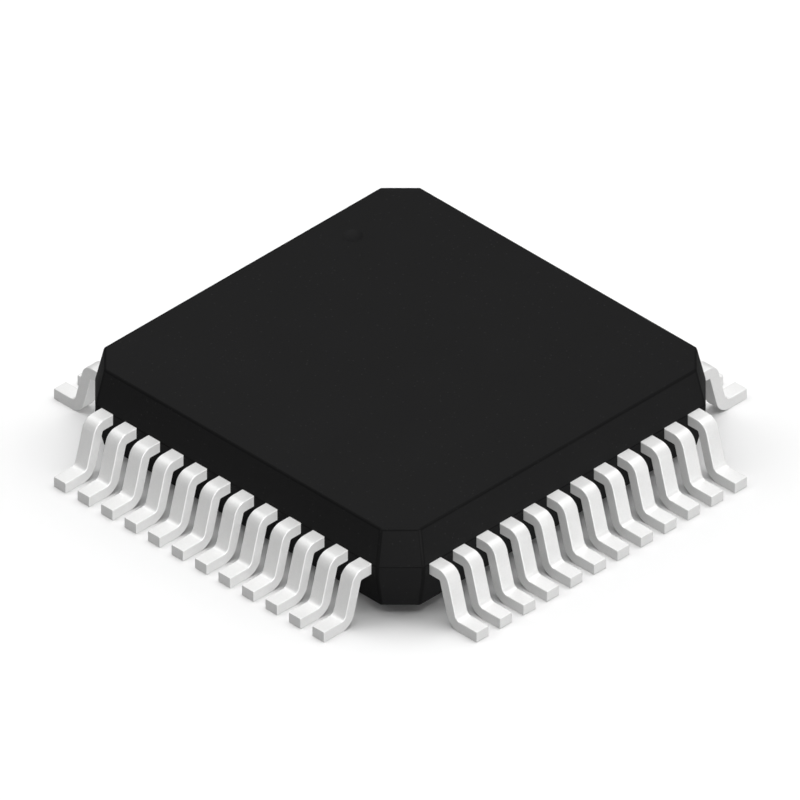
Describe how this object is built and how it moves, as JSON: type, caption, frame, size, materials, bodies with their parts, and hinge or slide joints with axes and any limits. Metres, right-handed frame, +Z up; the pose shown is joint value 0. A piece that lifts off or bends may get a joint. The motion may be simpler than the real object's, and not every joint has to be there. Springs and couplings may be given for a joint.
{
  "type": "quad flat pack chip",
  "caption": "Square black moulded chip package with rows of bright gull-wing leads on all four sides, for soldering flat onto a circuit board.",
  "frame": {"origin": "middle of the package on the seating plane, where the feet's undersides rest", "axes": "+Z up, away from the board; X and Y square to the sides, with lead 1 at the +Y end of the -X side"},
  "size_m": [0.009, 0.009, 0.0016],
  "materials": {
    "mould_compound": "fine matt black epoxy moulding compound, as it leaves the mould",
    "tin_plate": "satin matt tin plate over copper alloy",
    "copper_alloy": "bare copper alloy strip",
    "die_adhesive": "cured silver-filled adhesive",
    "silicon": "polished silicon",
    "bond_wire": "bright gold wire"
  },
  "bodies": {
    "root": {"package_body": "mould_compound", "lead_01": "tin_plate", "lead_02": "tin_plate", "lead_03": "tin_plate", "lead_04": "tin_plate", "lead_05": "tin_plate", "lead_06": "tin_plate", "lead_07": "tin_plate", "lead_08": "tin_plate", "lead_09": "tin_plate", "lead_10": "tin_plate", "lead_11": "tin_plate", "lead_12": "tin_plate", "lead_13": "tin_plate", "lead_14": "tin_plate", "lead_15": "tin_plate", "lead_16": "tin_plate", "lead_17": "tin_plate", "lead_18": "tin_plate", "lead_19": "tin_plate", "lead_20": "tin_plate", "lead_21": "tin_plate", "lead_22": "tin_plate", "lead_23": "tin_plate", "lead_24": "tin_plate", "lead_25": "tin_plate", "lead_26": "tin_plate", "lead_27": "tin_plate", "lead_28": "tin_plate", "lead_29": "tin_plate", "lead_30": "tin_plate", "lead_31": "tin_plate", "lead_32": "tin_plate", "lead_33": "tin_plate", "lead_34": "tin_plate", "lead_35": "tin_plate", "lead_36": "tin_plate", "lead_37": "tin_plate", "lead_38": "tin_plate", "lead_39": "tin_plate", "lead_40": "tin_plate", "lead_41": "tin_plate", "lead_42": "tin_plate", "lead_43": "tin_plate", "lead_44": "tin_plate", "lead_45": "tin_plate", "lead_46": "tin_plate", "lead_47": "tin_plate", "lead_48": "tin_plate", "die_paddle": "copper_alloy", "die_attach": "die_adhesive", "silicon_die": "silicon", "bond_wires_left": "bond_wire", "bond_wires_front": "bond_wire", "bond_wires_right": "bond_wire", "bond_wires_back": "bond_wire"}
  },
  "joints": []
}
